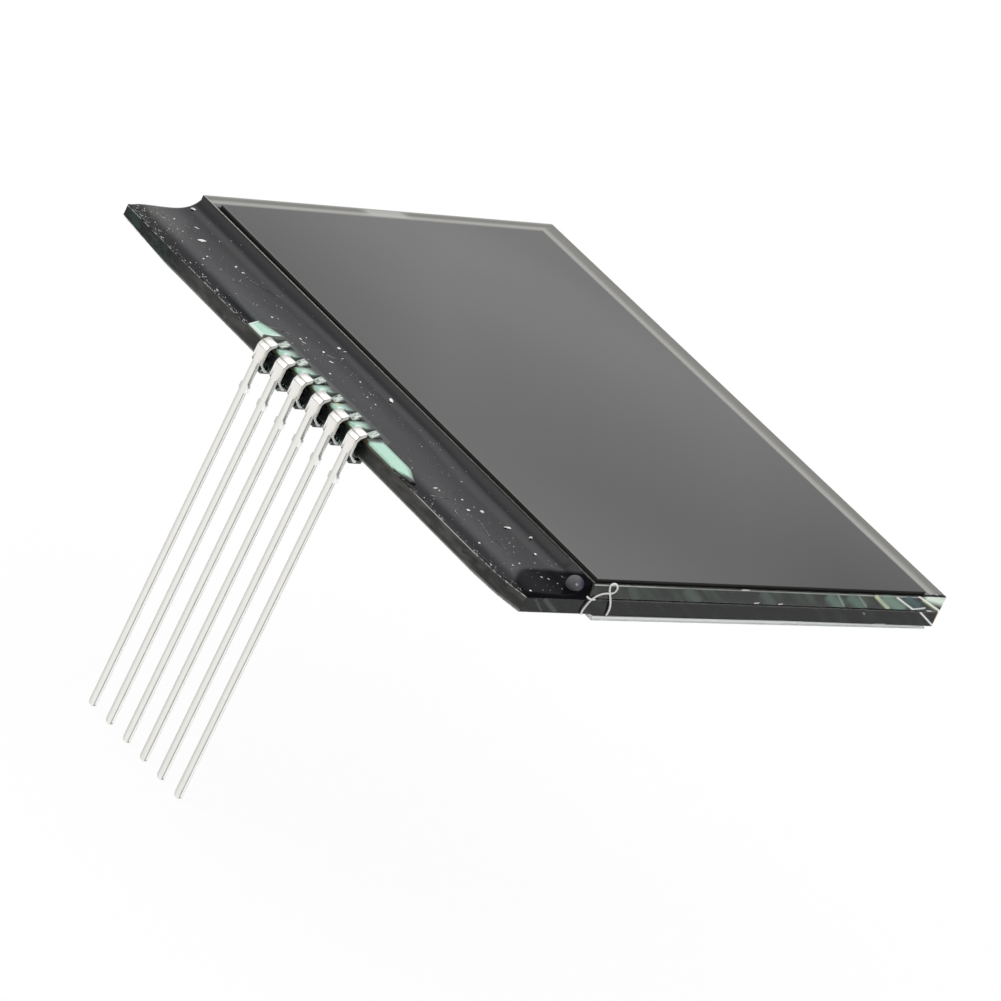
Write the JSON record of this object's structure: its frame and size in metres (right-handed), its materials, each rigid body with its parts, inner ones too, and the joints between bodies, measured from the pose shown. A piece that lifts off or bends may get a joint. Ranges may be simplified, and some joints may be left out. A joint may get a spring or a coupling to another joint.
{
  "type": "lcd screen",
  "caption": "Bare chip-on-glass segment display cell: two glass plates, dark polariser, black coated contact ledge and a row of clip-on tinned pins.",
  "frame": {"origin": "middle of the pin row at the shoulders that stop the pins on a board's surface", "axes": "+Y along the pin row and the display's long side, towards the end with the fill port; +Z out of the viewing face, so the pins point to -Z; +X across the display, away from the pins"},
  "size_m": [0.0375, 0.0441, 0.028],
  "materials": {
    "front_polariser": "satin dark grey film",
    "glass": "clear soda-lime glass with a pale green edge",
    "rear_polariser": "grey film",
    "protective_film": "clear peel-off film",
    "seal_resin": "cured epoxy",
    "liquid_crystal": "thin clear fluid",
    "plug_resin": "cured clear resin",
    "silver_paste": "matt silver filled resin",
    "silicon": "polished bare die",
    "bonding_film": "amber film",
    "ledge_coating": "glossy black protective resin, dusty",
    "tinned_strip": "matt bright tin plate",
    "pin_adhesive": "mint green cured resin"
  },
  "bodies": {
    "root": {"front_polariser": "front_polariser", "front_glass": "glass", "rear_glass": "glass", "rear_polariser": "rear_polariser", "rear_protective_film": "protective_film", "perimeter_seal": "seal_resin", "liquid_crystal": "liquid_crystal", "fill_port_plug": "plug_resin", "crossover_dot_near": "silver_paste", "crossover_dot_far": "silver_paste", "driver_chip": "silicon", "chip_bonding_film": "bonding_film", "ledge_coating": "ledge_coating", "contact_pin_1": "tinned_strip", "contact_pin_2": "tinned_strip", "contact_pin_3": "tinned_strip", "contact_pin_4": "tinned_strip", "contact_pin_5": "tinned_strip", "contact_pin_6": "tinned_strip", "pin_adhesive": "pin_adhesive"}
  },
  "joints": []
}
